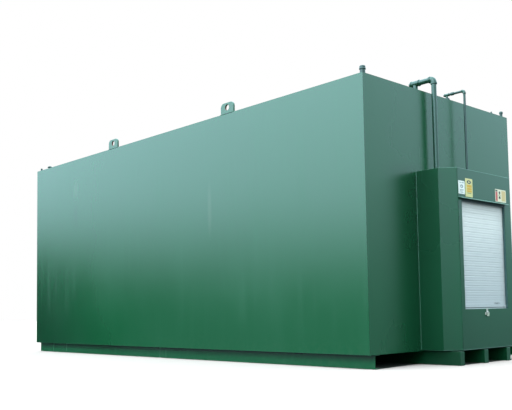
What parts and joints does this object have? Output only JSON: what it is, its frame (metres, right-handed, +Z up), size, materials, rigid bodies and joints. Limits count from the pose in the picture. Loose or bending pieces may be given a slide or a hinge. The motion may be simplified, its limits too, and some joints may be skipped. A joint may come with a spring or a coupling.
{
  "type": "bunded fuel tank",
  "caption": "Rectangular welded steel fuel tank on skid runners, with lifting lugs, roof pipes and a chamfered end cabinet closed by a roller shutter.",
  "frame": {"origin": "middle of the footprint, cabinet and hood included, on the ground under the skids", "axes": "+Z up, +Y along the tank away from the cabinet, +X to the right when the shutter is faced from outside"},
  "size_m": [3, 7.895, 3.326],
  "materials": {
    "green_paint": "gloss, weathered",
    "dark_green_fittings": "satin, weathered",
    "white_shutter": "satin",
    "zinc_plate": "dull zinc",
    "brass": "worn",
    "white_sign": "gloss",
    "yellow_sign": "gloss",
    "red_sign": "gloss"
  },
  "bodies": {
    "root": {"left_wall": "green_paint", "right_wall": "green_paint", "near_end_wall": "green_paint", "far_end_wall": "green_paint", "roof_plate": "green_paint", "base_plate": "green_paint", "skid_left": "green_paint", "skid_right": "green_paint", "skid_centre_1": "green_paint", "skid_centre_2": "green_paint", "skid_centre_3": "green_paint", "lifting_lug_left_near": "green_paint", "lifting_lug_left_far": "green_paint", "lifting_lug_right_near": "green_paint", "lifting_lug_right_far": "green_paint", "corner_stub": "dark_green_fittings", "corner_stub_cap": "dark_green_fittings", "right_corner_stub": "dark_green_fittings", "roof_plug": "dark_green_fittings", "corner_post": "dark_green_fittings", "mushroom_vent": "dark_green_fittings", "large_riser": "green_paint", "large_front_elbow": "green_paint", "large_run": "green_paint", "large_rear_tee": "green_paint", "large_nozzle": "green_paint", "thin_riser": "dark_green_fittings", "thin_front_elbow": "green_paint", "thin_run": "dark_green_fittings", "thin_coupling": "dark_green_fittings", "thin_rear_tee": "green_paint", "thin_boss": "dark_green_fittings", "cabinet_left_side": "green_paint", "cabinet_right_side": "green_paint", "cabinet_front": "green_paint", "cabinet_roof": "green_paint", "cabinet_floor": "green_paint", "rain_hood": "green_paint", "shutter_curtain": "white_shutter", "shutter_bottom_bar": "white_shutter", "guide_left": "green_paint", "guide_right": "green_paint", "shutter_head": "dark_green_fittings", "shutter_sill": "green_paint", "lock_hasp": "zinc_plate", "padlock": "brass", "sign_white": "white_sign", "sign_yellow": "yellow_sign", "sign_red": "red_sign"}
  },
  "joints": []
}
